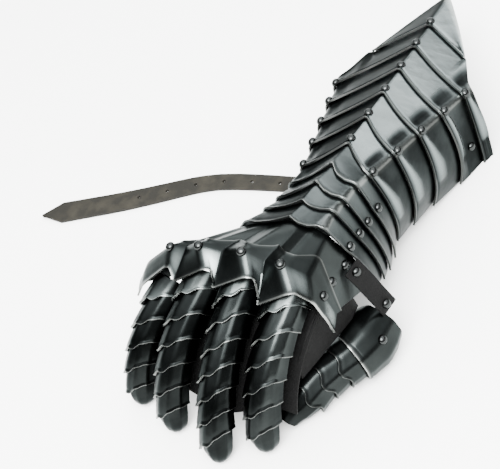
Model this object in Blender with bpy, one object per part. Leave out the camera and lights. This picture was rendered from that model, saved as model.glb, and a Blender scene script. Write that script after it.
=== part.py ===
"""An armoured gauntlet for the right hand, resting on its elbow corners, fingertips and thumb.

X runs across the hand with the thumb at +X, Y runs from the fingers toward the elbow, Z is up.
Lengths are written in millimetres and turned into metres when each mesh is made.
"""

import math

import bmesh
import bpy
import numpy as np
from mathutils import Matrix, Vector

MM = 0.001

# Middle of the footprint, on the ground: the lengths below are laid out from the wrist, and
# every mesh is moved so that this point becomes the origin
FRAME_ORIGIN = (-98.56, 36.55, -0.06)

# Sheet and leather
STEEL_THICK = 1.2
LEATHER_THICK = 1.3
STRAP_THICK = 2.0
PIECE_GAP = 0.4

# Cuff
CUFF_LAMES = 6
CUFF_RISE = 2.3
CUFF_OVERLAP = 0.2
CUFF_MIDDLE = -2.0
CUFF_TOP_START = (0.0, 40.0, 80.5)
CUFF_TOP_STEP = (0.0, 26.6, -5.65)
CUFF_SIDE_START = (18.7, 18.0, 82.0)
CUFF_SIDE_STEP = (5.5, 23.4, -6.8)
CUFF_TIP_AT = 6.43
CUFF_END_AT = 4.36
POINT_LAME_REACH = 0.66
WALL_UPPER_BULGE = 0.85

# Direction in which the knuckle plate falls toward the fingers
KNUCKLE_FALL = (0.0, -0.82, -0.57)

# Fingers
FINGER_HALF_WIDTH = 9.2
FINGER_DEPTH = 13.5
FINGER_TAPER = 0.84
FINGER_RISE = 2.1
FIRST_LAME_RISE = (3.3, 3.2, 2.6)
FIRST_LAME_WIDTH = 0.87
FINGER_OVERLAP = 0.3
LAME_SLANT = 9.5
LAME_WAVE = 0.6
STALL_HALF_WIDTH = 8.4
STALL_HALF_DEPTH = 8.0
STALL_DROP = 1.15
THUMB_STALL_HALF_DEPTH = 6.6
THUMB_STALL_DROP = 0.6

# Thumb
THUMB_HALF_WIDTH = 10.5
THUMB_DEPTH = 12.0
THUMB_RISE = 2.5
THUMB_WAVE = 1.2
THUMB_PITCH = 15.0
THUMB_FACING = (0.75, -0.36, 0.55)

# Rivets
RIVET_RADIUS = 2.3
RIVET_HEIGHT = 1.9
RIVET_INSET = 4.2
RIVET_SINK = 0.9
RIVET_SIDES = 8

# Strap
STRAP_WIDTH = 18.0
STRAP_NECK_WIDTH = 13.0
STRAP_TIP_LENGTH = 15.0
STRAP_HOLE_RADIUS = 1.9
STRAP_HOLE_PITCH = 20.5
STRAP_FIRST_HOLE = 72.0
STRAP_HOLES = 6

# Foot line of the cuff wall: lame line, across, along, height, outward bulge of the wall
CUFF_FEET = (
    (0.0, 18.0, 24.0, 20.0, 4.5),
    (1.0, 21.0, 42.0, 14.0, 4.5),
    (2.0, 26.0, 63.0, 9.0, 4.5),
    (3.0, 34.5, 88.0, 2.5, 4.0),
    (3.4, 38.0, 97.0, 0.0, 0.1),
    (4.36, 47.0, 117.0, 0.0, 1.2),
)

# Wrist rails, one row per lame line: line, little-finger ridge, top ridge, thumb ridge,
# little-finger foot, thumb foot (each across, along, height)
WRIST = (
    (-4.0, (-38, -31, 83), (-8, -30, 91), (13.5, -38, 97), (-48, -28, 50), (25, -26, 40)),
    (-3.0, (-31, -18, 82.5), (-6, -17, 91), (14.5, -24, 96), (-38, -14, 38), (25, -14, 31)),
    (-2.0, (-27, -9, 82), (-4, -3, 91.5), (15.2, -13, 93.5), (-30, -4, 29), (24, -4, 26)),
    (-1.0, (-23.5, 2, 81.5), (-2.5, 12, 88.5), (15.9, 1, 89.5), (-23, 8, 23), (22, 8, 22)),
    (0.0, (-20.7, 18, 82), (-2, 40, 80.5), (16.7, 18, 82), (-18, 24, 20), (18, 24, 20)),
)
WRIST_BULGE = 4.5

# Section of the hand at the knuckles, from the little-finger side to the thumb side:
# across, along, height, reach of the knuckle plate toward the wrist and toward the fingers,
# and how far its lower edge leans across
KNUCKLES = (
    (-97.5, -64.5, 62.0, 5.0, 8.0, 0.0),
    (-90.5, -59.5, 74.0, 6.0, 12.0, -1.0),
    (-69.0, -58.0, 92.0, 6.0, 10.0, 0.0),
    (-58.5, -58.0, 92.5, 11.0, 19.0, -5.0),
    (-47.0, -61.0, 101.5, 6.0, 11.0, 6.0),
    (-34.0, -60.0, 97.0, 12.0, 20.0, -3.0),
    (-20.0, -62.0, 103.5, 6.0, 12.0, 6.0),
    (-9.0, -60.0, 95.0, 12.0, 24.0, -1.0),
    (3.0, -64.0, 100.0, 7.0, 14.0, 8.0),
    (14.5, -62.0, 91.5, 13.0, 14.0, 4.0),
    (19.5, -65.0, 78.5, 9.0, 12.0, 3.5),
    (22.0, -63.0, 61.0, 5.0, 10.0, 0.0),
)

# Fingers: name, lames, start (across, along, height), tip (across, along, height), sag of
# the arc, share of the full width
FINGERS = (
    ("little", 5, (-76.0, -65.5, 74.5), (-103.0, -113.0, 3.2), 12.0, 0.9),
    ("ring", 6, (-49.5, -65.5, 87.5), (-74.0, -126.0, 3.1), 14.0, 1.0),
    ("middle", 7, (-23.5, -66.0, 91.0), (-38.0, -139.0, 3.4), 15.0, 1.0),
    ("index", 6, (4.0, -68.0, 87.7), (-14.0, -126.0, 3.2), 14.0, 1.02),
)

# Half section of a finger lame: share of the half width, share of the depth
FINGER_SECTION = (
    (-1.0, -1.0),
    (-1.0, -0.5),
    (-0.62, -0.14),
    (0.0, 0.0),
    (0.62, -0.14),
    (1.0, -0.5),
    (1.0, -1.0),
)

# Thumb line over its ridge: across, along, height, share of the half width
THUMB_LINE = (
    (38.5, -36.0, 24.5, 1.2),
    (36.5, -53.0, 25.0, 1.3),
    (30.5, -65.3, 24.0, 1.15),
    (22.8, -73.6, 22.5, 1.0),
    (15.5, -83.0, 21.0, 1.0),
    (9.3, -93.3, 18.0, 0.95),
    (3.3, -101.0, 14.2, 0.85),
    (-2.2, -106.5, 8.8, 0.5),
)

# Strip of leather with two rivets that hangs the thumb on the hand: across, along, height
HINGE_LINE = ((26.2, -37.9, 71.4), (30.6, -36.6, 59.2), (34.8, -35.6, 46.2), (39.0, -34.3, 33.0))
HINGE_WIDTH = 12.0

# Narrow leather that runs from under the hinge along the palm side of the thumb
PALM_STRIP_LINE = (
    (16.7, -38.0, 45.5),
    (18.0, -49.0, 45.0),
    (15.7, -62.0, 42.5),
    (10.5, -76.0, 40.0),
    (4.0, -88.0, 35.0),
)
PALM_STRIP_WIDTH = 8.0

# Leather web behind that strip, between the index finger and the thumb: upper and lower edge
# beside each point of the strip, each across, along, height
WEB_GAP = 0.35
WEB_UPPER = (
    (17.5, -40.0, 59.5),
    (16.5, -50.0, 62.5),
    (12.8, -62.0, 69.0),
    (8.0, -76.0, 62.0),
    (3.5, -88.0, 49.0),
)
WEB_LOWER = (
    (23.0, -38.0, 35.9),
    (21.4, -49.0, 36.9),
    (14.0, -62.0, 37.4),
    (7.6, -75.0, 35.6),
    (0.6, -86.5, 31.5),
)

# Palm leather across the hand: across, height at the knuckles, height at the wrist
PALM_SECTION = (
    (-74.0, 56.0, 50.0),
    (-45.0, 58.0, 47.0),
    (-12.0, 58.0, 45.0),
    (5.0, 53.0, 41.0),
    (10.5, 43.0, 35.0),
    (11.5, 33.0, 29.0),
)

# Strap centre line: across, along, height, width share
STRAP_LINE = (
    (-29.7, 71.0, 24.0, 0.0),
    (-26.4, 71.0, 12.0, 0.0),
    (-26.4, 71.0, 4.2, 0.0),
    (-33.0, 71.0, 1.6, 0.0),
    (-52.0, 71.5, 1.3, 0.0),
    (-74.0, 71.0, 1.3, 0.0),
    (-101.0, 69.0, 1.3, 0.1),
    (-127.0, 66.0, 1.3, 0.2),
    (-144.0, 60.0, 1.3, 0.4),
    (-164.0, 50.0, 1.3, 0.6),
    (-190.0, 38.0, 1.3, 0.8),
    (-233.0, 21.0, 1.3, 1.0),
)

# Tab inside the thumb wall of the cuff, down to the buckle: across, along, height
BUCKLE_TAB_LINE = ((29.7, 71.0, 24.0), (26.4, 71.0, 12.0), (24.0, 71.0, 3.8))
BUCKLE_SIZE = (18.0, 19.0, 2.2)
BUCKLE_BAR = 2.4
BUCKLE_CENTRE = (2.6, 71.0, 1.5)


def clear_scene():
    for thing in list(bpy.data.objects):
        bpy.data.objects.remove(thing, do_unlink=True)


def surface(name, colour, roughness, metallic):
    made = bpy.data.materials.new(name)
    made.use_nodes = True
    shader = made.node_tree.nodes["Principled BSDF"]
    shader.inputs["Base Color"].default_value = (*colour, 1.0)
    shader.inputs["Roughness"].default_value = roughness
    shader.inputs["Metallic"].default_value = metallic
    return made


def steel(name):
    return surface(name + "_steel", (0.05, 0.052, 0.05), 0.24, 1.0)


def leather(name):
    return surface(name + "_leather", (0.03, 0.03, 0.027), 0.6, 0.0)


def node_from_bmesh(name, mesh, material, hidden=False):
    bmesh.ops.recalc_face_normals(mesh, faces=mesh.faces)
    bmesh.ops.translate(mesh, vec=Vector(FRAME_ORIGIN) * -1.0, verts=mesh.verts)
    bmesh.ops.scale(mesh, vec=(MM, MM, MM), verts=mesh.verts)
    data = bpy.data.meshes.new(name)
    mesh.to_mesh(data)
    mesh.free()
    made = bpy.data.objects.new(name, data)
    bpy.context.scene.collection.objects.link(made)
    if material:
        data.materials.append(material)
    if hidden:
        made.hide_render = True
        made.display_type = "WIRE"
    return made


def unit(vector):
    return vector / np.linalg.norm(vector)


def miters(grid, outward):
    """Offset directions of a grid of points, sharpened where two facets meet at a ridge."""
    rows, columns = grid.shape[:2]
    found = np.zeros_like(grid)
    for r in range(rows):
        ahead = min(r + 1, rows - 1)
        behind = ahead - 1
        for c in range(columns):
            along = unit(grid[ahead, c] - grid[behind, c])
            sides = []
            if c > 0:
                sides.append(unit(np.cross(grid[r, c] - grid[r, c - 1], along)))
            if c < columns - 1:
                sides.append(unit(np.cross(grid[r, c + 1] - grid[r, c], along)))
            sides = [s * outward for s in sides]
            joined = sides[0] if len(sides) == 1 else sides[0] + sides[1]
            spread = 1.0 if len(sides) == 1 else 1.0 + float(sides[0] @ sides[1])
            found[r, c] = joined / max(spread, 0.45)
    return found


def shell_points(grid, rise, thick, outward):
    """Inner and outer point grids of a bent plate; rise lifts each row off the grid."""
    lift = miters(grid, outward)
    rise = np.asarray(rise, float)
    rise = rise.reshape(len(rise), -1, 1)
    return grid + lift * rise, grid + lift * (rise + thick), lift


def shell_mesh(inner, outer):
    mesh = bmesh.new()
    rows, columns = inner.shape[:2]
    low = [[mesh.verts.new(Vector(p)) for p in row] for row in inner]
    top = [[mesh.verts.new(Vector(p)) for p in row] for row in outer]
    for r in range(rows - 1):
        for c in range(columns - 1):
            mesh.faces.new((top[r][c], top[r][c + 1], top[r + 1][c + 1], top[r + 1][c]))
            mesh.faces.new((low[r][c], low[r + 1][c], low[r + 1][c + 1], low[r][c + 1]))
        mesh.faces.new((low[r][0], top[r][0], top[r + 1][0], low[r + 1][0]))
        mesh.faces.new((low[r][-1], low[r + 1][-1], top[r + 1][-1], top[r][-1]))
    for c in range(columns - 1):
        mesh.faces.new((low[0][c], low[0][c + 1], top[0][c + 1], top[0][c]))
        mesh.faces.new((low[-1][c], top[-1][c], top[-1][c + 1], low[-1][c + 1]))
    return mesh


def add_dome(mesh, centre, normal, radius=RIVET_RADIUS, height=RIVET_HEIGHT, sink=RIVET_SINK):
    """A round rivet head standing on a plate, reaching a little into it."""
    normal = Vector(unit(np.array(normal)))
    turn = normal.to_track_quat("Z", "X").to_matrix()
    centre = Vector(centre)
    rings = ((-sink, 1.0), (0.0, 1.0), (0.62, 0.78))
    loops = []
    for level, share in rings:
        lift = level if level <= 0 else level * height
        loop = []
        for k in range(RIVET_SIDES):
            angle = 2 * math.pi * k / RIVET_SIDES
            flat = Vector((math.cos(angle) * radius * share, math.sin(angle) * radius * share, lift))
            loop.append(mesh.verts.new(centre + turn @ flat))
        loops.append(loop)
    crown = mesh.verts.new(centre + normal * height)
    mesh.faces.new(list(reversed(loops[0])))
    for lower, upper in zip(loops, loops[1:]):
        for k in range(RIVET_SIDES):
            after = (k + 1) % RIVET_SIDES
            mesh.faces.new((lower[k], lower[after], upper[after], upper[k]))
    for k in range(RIVET_SIDES):
        mesh.faces.new((loops[-1][k], loops[-1][(k + 1) % RIVET_SIDES], crown))


def join_domes(plate, places):
    """Unites rivet heads with the plate that they pass through."""
    if not places:
        return
    mesh = bmesh.new()
    for centre, normal in places:
        add_dome(mesh, centre, normal)
    heads = node_from_bmesh(plate.name + "_heads", mesh, None, hidden=True)
    join = plate.modifiers.new("heads", "BOOLEAN")
    join.operation = "UNION"
    join.solver = "EXACT"
    join.use_self = True
    join.object = heads


def place_on(outer, lift, row, column, inset):
    """A point on the outside of a plate, set in from the edge at the given row."""
    other = row + 1 if row == 0 else row - 1
    start, end = outer[row, column], outer[other, column]
    reach = np.linalg.norm(end - start)
    return start + (end - start) * min(inset / reach, 0.5), lift[row, column]


def plate(name, grid, rise, rivets=(), thick=STEEL_THICK, outward=1.0, material=None):
    inner, outer, lift = shell_points(grid, rise, thick, outward)
    made = node_from_bmesh(name, shell_mesh(inner, outer), material or steel(name))
    join_domes(made, [place_on(outer, lift, r, c, inset) for r, c, inset in rivets])
    return made, outer, lift


def cuff_rails(line, side):
    """Top ridge, side ridge, two wall points and the foot of one cuff side at a lame line."""
    mirror = np.array((side, 1.0, 1.0))
    middle = np.array((CUFF_MIDDLE, 0.0, 0.0))
    top = np.array(CUFF_TOP_START) + line * np.array(CUFF_TOP_STEP) + middle
    ridge = (np.array(CUFF_SIDE_START) + line * np.array(CUFF_SIDE_STEP)) * mirror + middle
    feet = np.array(CUFF_FEET)
    foot = np.array([np.interp(line, feet[:, 0], feet[:, k]) for k in (1, 2, 3)]) * mirror
    out = np.array((np.interp(line, feet[:, 0], feet[:, 4]) * side, 0.0, 0.0))
    return [top, ridge, *wall_points(ridge, foot, out), foot]


def wall_points(ridge, foot, out):
    """Upper and lower point of a wall between a side ridge and its foot, bulged outward."""
    upper = ridge * 0.68 + foot * 0.32 + out * WALL_UPPER_BULGE
    lower = ridge * 0.34 + foot * 0.66 + out
    return upper, lower


def cuff_edge(share):
    """Lame line at which the elbow end lies, for a share of the way from top to side ridge."""
    return CUFF_TIP_AT - (CUFF_TIP_AT - CUFF_END_AT) * min(abs(share), 1.0)


CUFF_SHARES = (0.0, 0.4, POINT_LAME_REACH, 1.0)


def cuff_row(line_of):
    """One row of points round the cuff; line_of gives the lame line at a share of the facet."""
    left, right = [], []
    for side, points in ((-1.0, left), (1.0, right)):
        for share in CUFF_SHARES:
            top, ridge = cuff_rails(line_of(share), side)[:2]
            points.append(top * (1 - share) + ridge * share)
        points.extend(cuff_rails(line_of(1.0), side)[2:])
    return np.array(left[::-1] + right[1:])


def cuff_lame(number):
    tuck = number + 1 + CUFF_OVERLAP
    rows = []
    for part in (0.0, 0.5, 1.0):
        def line_of(share, part=part):
            return number + part * (min(tuck, cuff_edge(share)) - number)
        rows.append(cuff_row(line_of))
    grid = np.array(rows)
    middle = len(grid[0]) // 2
    rivets = [(0, middle, RIVET_INSET), (0, middle - 3, RIVET_INSET), (0, middle + 3, RIVET_INSET)]
    if number == 4:
        rivets[1:] = [(0, middle - 3, 3.0), (0, middle + 3, 3.0)]
    if number == 3:
        rivets.extend([(1, middle - 5, 1.0), (1, middle + 5, 1.0)])
    sides = {0.0: (1.0, 0.5, 0.0), 0.4: (1.0, 0.5, 0.0), POINT_LAME_REACH: (1.0, 0.5, 0.0)}
    rise = [[], [], []]
    for column in range(len(grid[0])):
        share = CUFF_SHARES[min(abs(column - middle), 3)]
        ramp = (1.0, 0.55, 0.0) if number < 4 else sides.get(share, (1.0, 0.96, 0.92))
        for r in range(3):
            rise[r].append(CUFF_RISE * ramp[r])
    plate("cuff_lame_%d" % (number + 1), grid, rise, rivets)


def cuff_point():
    """The pointed plate over the elbow."""
    rows = []
    for part in (0.0, 0.5, 1.0):
        points = []
        for share in (-POINT_LAME_REACH, -CUFF_SHARES[1], 0.0, CUFF_SHARES[1], POINT_LAME_REACH):
            side = -1.0 if share < 0 else 1.0
            line = 5.0 + part * (cuff_edge(share) - 5.0)
            top, ridge = cuff_rails(line, side)[:2]
            points.append(top * (1 - abs(share)) + ridge * abs(share))
        rows.append(points)
    rise = (CUFF_RISE, CUFF_RISE * 0.8, CUFF_RISE * 0.6)
    plate("cuff_point", np.array(rows), rise, [(0, 2, RIVET_INSET)])


def wrist_rails(line):
    lines = [row[0] for row in WRIST]
    found = []
    for column in range(1, 6):
        rail = np.array([row[column] for row in WRIST], float)
        found.append(np.array([np.interp(line, lines, rail[:, k]) for k in range(3)]))
    return found


def wrist_row(line):
    """One row of points round the wrist, with the columns of a cuff row."""
    if line > 0:
        return cuff_row(lambda share: line)
    low, top, high, low_foot, high_foot = wrist_rails(line)
    out = np.array((WRIST_BULGE, 0.0, 0.0))
    low_upper, low_lower = wall_points(low, low_foot, -out)
    high_upper, high_lower = wall_points(high, high_foot, out)
    row = [low_foot, low_lower, low_upper]
    row.extend(top * (1 - share) + low * share for share in CUFF_SHARES[::-1])
    row.extend(top * (1 - share) + high * share for share in CUFF_SHARES[1:])
    row.extend((high_upper, high_lower, high_foot))
    return np.array(row)


def wrist_lame(number):
    """Wrist lames count from the cuff toward the hand."""
    start = -float(number)
    grid = np.array([wrist_row(start + part) for part in (0.0, 0.5, 1.0, 1.0 + CUFF_OVERLAP)])
    middle = len(grid[0]) // 2
    rivets = [(0, middle + 4, RIVET_INSET)]
    edge = CUFF_RISE * (1.4 if number == 4 else 1.0)
    rise = (edge, CUFF_RISE * 0.6, CUFF_RISE * 0.16, 0.0)
    plate("wrist_lame_%d" % number, grid, rise, rivets)


def wrist_columns():
    """Where each knuckle column starts on the last wrist line."""
    row = wrist_row(-3.8)
    low_foot, low_wall, low, top, high = row[0], row[2], row[3], row[6], row[9]
    high_wall, high_lower, high_foot = row[10], row[11], row[12]
    starts = [low_foot, low_wall, low]
    starts.extend(low * (1 - share) + top * share for share in (0.22, 0.45, 0.68, 0.92))
    starts.extend(top * (1 - share) + high * share for share in (0.35, 0.8))
    starts.extend((high * 0.75 + high_wall * 0.25, high_wall * 0.65 + high_lower * 0.35, high_foot))
    return np.array(starts)


def knuckle_section():
    """Crease points of the knuckles and the direction from each toward the wrist."""
    ridge = np.array(KNUCKLES)[:, :3]
    back = wrist_columns() - ridge
    return ridge, back / np.linalg.norm(back, axis=1)[:, None]


def hand_plate():
    starts = wrist_columns()
    ridge, back = knuckle_section()
    grid = np.array([starts, ridge + back * 16.0, ridge + back * 2.5])
    columns = len(starts)
    rivets = [(0, columns - 2, 8.0), (1, columns - 2, -3.5)]
    plate("hand_plate", grid, (0.0, 0.0, 0.0), rivets, outward=-1.0)


def knuckle_plate():
    ridge, back = knuckle_section()
    reach = np.array(KNUCKLES)[:, 3:]
    upper = ridge + back * reach[:, :1]
    lower = ridge + np.array(KNUCKLE_FALL) * reach[:, 1:2]
    lower[:, 0] += reach[:, 2]
    clear = STEEL_THICK + PIECE_GAP * 1.5
    rivets = [(1, column, 0.6) for column in (2, 4, 6, 8, 10)]
    rise = (clear + 0.5, clear, clear)
    plate("knuckle_plate", np.array([upper, ridge, lower]), rise, rivets, outward=-1.0)


class Arc:
    """A circular arc in an upright plane, from a knuckle down to a fingertip."""

    def __init__(self, start, end, sag):
        self.start = np.array(start, float)
        chord = np.array(end, float) - self.start
        self.length = np.linalg.norm(chord)
        self.chord = chord / self.length
        flat = unit(np.array((chord[0], chord[1], 0.0)))
        self.side = unit(np.cross(np.array((0.0, 0.0, 1.0)), flat))
        self.bow = unit(np.cross(self.side, self.chord)) * -1.0
        if self.bow[2] < 0:
            self.bow = -self.bow
        self.sag = sag
        self.radius = (self.length**2 / 4 + sag**2) / (2 * sag)
        self.half_angle = math.asin(self.length / 2 / self.radius)

    def frame(self, share):
        """Point, direction of travel, outward normal and sideways direction at a share."""
        angle = (2 * share - 1) * self.half_angle
        centre = self.start + self.chord * self.length / 2 + self.bow * (self.sag - self.radius)
        normal = self.bow * math.cos(angle) + self.chord * math.sin(angle)
        travel = self.chord * math.cos(angle) - self.bow * math.sin(angle)
        return centre + normal * self.radius, travel, normal, unit(np.cross(normal, travel))


def finger_arc(finger):
    return Arc(finger[2], finger[3], finger[4])


def edge_wave(side):
    """How far the free edge of a lame reaches toward the tip, at a share of its half width."""
    step = math.sin(2 * math.pi * side) / (2 * math.pi)
    return -LAME_SLANT * (side - LAME_WAVE * step)


def finger_points(arc, share, wave, width, depth):
    """A row of points over a finger at a share of its arc."""
    points = []
    taper = 1 - (1 - FINGER_TAPER) * share
    for side, fall in FINGER_SECTION:
        at = share + wave * edge_wave(side) / arc.length
        point, travel, normal, across = arc.frame(at)
        points.append(point + across * side * width * taper + normal * fall * depth * taper)
    return points


def finger_lames(finger):
    name, count = finger[:2]
    arc = finger_arc(finger)
    width = FINGER_HALF_WIDTH * finger[5]
    pitch = 0.86 / count
    for k in range(count):
        free = pitch * (k + 1)
        tuck = max(free - pitch * (1 + FINGER_OVERLAP), 0.0)
        waves = (1.0, 0.9, 0.85) if k else (1.0, 0.6, 0.2)
        rows = []
        for share, wave in zip((free, (free + tuck) / 2, tuck), waves):
            across = width if k else width * FIRST_LAME_WIDTH
            rows.append(finger_points(arc, share, wave, across, FINGER_DEPTH))
        lifts = (FINGER_RISE, FINGER_RISE * 0.5, 0.0) if k else FIRST_LAME_RISE
        plate("%s_lame_%d" % (name, k + 1), np.array(rows), lifts)
    rows = []
    ends = ((0.86 - pitch * 0.3, 0.98), (0.9, 0.96), (0.96, 0.78), (1.0, 0.42), (1.01, 0.1))
    for (share, size), wave in zip(ends, (0.8, 0.25, 0.0, 0.0, 0.0)):
        slope = finger_points(arc, share, wave, width * size, FINGER_DEPTH * size)
        sunk = arc.frame(share)[2] * -(1 - size) * FINGER_DEPTH * 0.45
        rows.append([p + sunk for p in slope])
    plate(name + "_tip", np.array(rows)[::-1], (0.0,) * 5)


def loop_tube(name, loops, inner_loops, material):
    """A thin-walled sleeve, open at its first loop and closed at its last."""
    mesh = bmesh.new()
    outer = [[mesh.verts.new(Vector(p)) for p in loop] for loop in loops]
    inner = [[mesh.verts.new(Vector(p)) for p in loop] for loop in inner_loops]
    count = len(loops[0])
    for rings in (outer, inner):
        for a, b in zip(rings, rings[1:]):
            for k in range(count):
                mesh.faces.new((a[k], a[(k + 1) % count], b[(k + 1) % count], b[k]))
        mesh.faces.new(rings[-1])
    for k in range(count):
        after = (k + 1) % count
        mesh.faces.new((outer[0][k], outer[0][after], inner[0][after], inner[0][k]))
    return node_from_bmesh(name, mesh, material)


def oval(frame, half_width, half_depth, drop, sides=10):
    point, _, normal, across = frame
    middle = point + normal * drop
    loop = []
    for k in range(sides):
        angle = 2 * math.pi * (k + 0.5) / sides
        side, height = math.cos(angle) * half_width, math.sin(angle) * half_depth
        loop.append(middle + across * side + normal * height)
    return loop


def finger_stall(finger):
    """The leather finger of the glove under the lames."""
    name = finger[0]
    arc = finger_arc(finger)
    half_width = STALL_HALF_WIDTH * finger[5]
    outer, inner = [], []
    for share, size in ((0.03, 1.0), (0.3, 0.97), (0.6, 0.92), (0.85, 0.84), (0.93, 0.6)):
        frame = arc.frame(share)
        drop = -(STALL_HALF_DEPTH + STALL_DROP)
        outer.append(oval(frame, half_width * size, STALL_HALF_DEPTH * size, drop))
        thin = LEATHER_THICK
        frame_in = arc.frame(share - (0.012 if share > 0.9 else 0.0))
        inner.append(oval(frame_in, half_width * size - thin, STALL_HALF_DEPTH * size - thin, drop))
    loop_tube(name + "_stall", outer, inner, leather(name + "_stall"))


def thumb_frame(at):
    """Point on the thumb line, direction, facing and sideways direction, and the width share."""
    line = np.array(THUMB_LINE)
    places = np.arange(len(line))
    point = np.array([np.interp(at, places, line[:, k]) for k in range(3)])
    lower = max(min(int(at), len(line) - 2), 0)
    travel = unit(line[lower + 1, :3] - line[lower, :3])
    before = unit(line[max(lower, 1), :3] - line[max(lower, 1) - 1, :3])
    travel = unit(travel + before * 0.5)
    facing = np.array(THUMB_FACING)
    facing = unit(facing - travel * float(facing @ travel))
    return point, travel, facing, unit(np.cross(facing, travel)), np.interp(at, places, line[:, 3])


def thumb_row(at, wave, grow=1.0):
    points = []
    for side, fall in FINGER_SECTION:
        place = at + wave * THUMB_WAVE * math.cos(side * math.pi * 1.5) / THUMB_PITCH
        point, _, facing, across, share = thumb_frame(place)
        half_width, depth = THUMB_HALF_WIDTH * share * grow, THUMB_DEPTH * share * grow
        points.append(point + across * side * half_width + facing * fall * depth)
    return points


def thumb_plates():
    lift = THUMB_RISE
    rows = [thumb_row(at, 0.0) for at in (2.1, 1.6, 1.0, 0.5)] + [thumb_row(0.1, 0.0, 0.8)]
    plate("thumb_base_plate", np.array(rows), (lift + 0.4,) * 5, [(2, 3, 1.0)])
    for k in range(3):
        free = 3.1 + k
        rows = [thumb_row(free, 1.0), thumb_row(free - 0.5, 0.5), thumb_row(free - 1.3, 0.0)]
        plate("thumb_lame_%d" % (k + 1), np.array(rows), (lift, lift * 0.5, 0.0))
    rows = [thumb_row(at, 0.0) for at in (6.95, 6.5, 6.0, 5.4, 4.8)]
    plate("thumb_tip", np.array(rows), (0.0,) * 5)


def ribbon(name, line, across, widths, thick, material):
    """A flat strip along a line of points, with its sideways direction and width at each."""
    rows = []
    for point, side, width in zip(line, across, widths):
        rows.append([point - side * width / 2, point, point + side * width / 2])
    grid = np.array(rows)
    inner, outer, lift = shell_points(grid, (-thick / 2,) * len(rows), thick, 1.0)
    return node_from_bmesh(name, shell_mesh(inner, outer), material), outer, lift


def straight_across(direction, count):
    return [unit(np.array(direction, float))] * count


def hinge_tab():
    line = np.array(HINGE_LINE)
    travel = unit(line[-1] - line[0])
    across = unit(np.cross(travel, np.array((0.9, -0.35, 0.25))))
    hide = leather("thumb_hinge_strip")
    widths = [HINGE_WIDTH] * len(line)
    made, outer, lift = ribbon(
        "thumb_hinge_strip", line, [across] * len(line), widths, LEATHER_THICK, hide)
    heads = [place_on(outer, lift, row, 1, 4.5) for row in (0, 3)]
    join_domes(made, heads)


def palm_directions():
    """Sideways direction of the palm strip, and the direction that it faces, at each point."""
    line = np.array(PALM_STRIP_LINE)
    across = [unit(u - w) for u, w in zip(np.array(WEB_UPPER), np.array(WEB_LOWER))]
    facing = []
    for k, side in enumerate(across):
        travel = line[min(k + 1, len(line) - 1)] - line[max(k - 1, 0)]
        facing.append(unit(np.cross(travel, side)))
    return line, across, facing


def palm_strip():
    line, across, facing = palm_directions()
    widths = [PALM_STRIP_WIDTH] * len(line)
    ribbon("palm_strip", line, across, widths, LEATHER_THICK, leather("palm_strip"))


def thumb_web():
    """The glove's leather between the index finger and the thumb, behind the palm strip."""
    line, across, facing = palm_directions()
    behind = LEATHER_THICK + WEB_GAP
    rows = []
    for edge in (np.array(WEB_UPPER), line, np.array(WEB_LOWER)):
        moved = [e + n * (np.dot(p - e, n) - behind) for e, p, n in zip(edge, line, facing)]
        rows.append(moved)
    plate(
        "thumb_web",
        np.array(rows),
        (0.0,) * 3,
        thick=LEATHER_THICK,
        material=leather("thumb_web"),
    )


def palm_leather():
    section = np.array(PALM_SECTION)
    rows = []
    for part, along in ((0.0, -61.0), (0.5, -44.0), (1.0, -27.0)):
        height = section[:, 1] * (1 - part) + section[:, 2] * part
        pinch = 1 - 0.42 * part
        across = np.where(section[:, 0] < 0, section[:, 0] * pinch, section[:, 0])
        rows.append(np.stack([across, np.full(len(section), along), height], 1))
    hide = leather("palm_leather")
    plate("palm_leather", np.array(rows), (0.0,) * 3, thick=LEATHER_THICK, material=hide)


def thumb_stall():
    outer, inner = [], []
    for at, size in ((1.3, 1.0), (2.5, 0.95), (3.5, 0.9), (4.5, 0.86), (5.5, 0.8), (6.2, 0.6)):
        point, travel, facing, across, share = thumb_frame(at)
        frame = (point, travel, facing, across)
        drop = -(THUMB_STALL_HALF_DEPTH + THUMB_STALL_DROP)
        half_width, half_depth = STALL_HALF_WIDTH * size, THUMB_STALL_HALF_DEPTH * size
        outer.append(oval(frame, half_width, half_depth, drop))
        inner.append(oval(frame, half_width - LEATHER_THICK, half_depth - LEATHER_THICK, drop))
    inner[-1] = [p - travel * LEATHER_THICK for p in inner[-1]]
    loop_tube("thumb_stall", outer, inner, leather("thumb_stall"))


def strap():
    line = np.array(STRAP_LINE)
    points = line[:, :3]
    across = []
    for k in range(len(points)):
        travel = points[min(k + 1, len(points) - 1)] - points[max(k - 1, 0)]
        across.append(unit(np.array((-travel[1], travel[0] - 0.01, 0.0))))
    across[:4] = [across[4]] * 4
    grown = [STRAP_NECK_WIDTH + (STRAP_WIDTH - STRAP_NECK_WIDTH) * share for share in line[:, 3]]
    tip = unit(points[-1] - points[-2])
    points = np.vstack([points, points[-1] + tip * STRAP_TIP_LENGTH])
    across.append(across[-1])
    grown.append(1.2)
    made, _, _ = ribbon("strap", points, across, grown, STRAP_THICK, leather("strap"))
    mesh = bmesh.new()
    reach = np.concatenate([[0.0], np.cumsum(np.linalg.norm(np.diff(points, axis=0), axis=1))])
    for k in range(STRAP_HOLES):
        back = reach[-1] - STRAP_FIRST_HOLE - k * STRAP_HOLE_PITCH
        centre = [np.interp(back, reach, points[:, axis]) for axis in range(3)]
        bmesh.ops.create_cone(
            mesh, cap_ends=True, segments=10, radius1=STRAP_HOLE_RADIUS, radius2=STRAP_HOLE_RADIUS,
            depth=STRAP_THICK * 4, matrix=Matrix.Translation(Vector(centre)),
        )
    punch = node_from_bmesh("strap_punches", mesh, None, hidden=True)
    cut = made.modifiers.new("holes", "BOOLEAN")
    cut.operation = "DIFFERENCE"
    cut.solver = "EXACT"
    cut.object = punch


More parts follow.
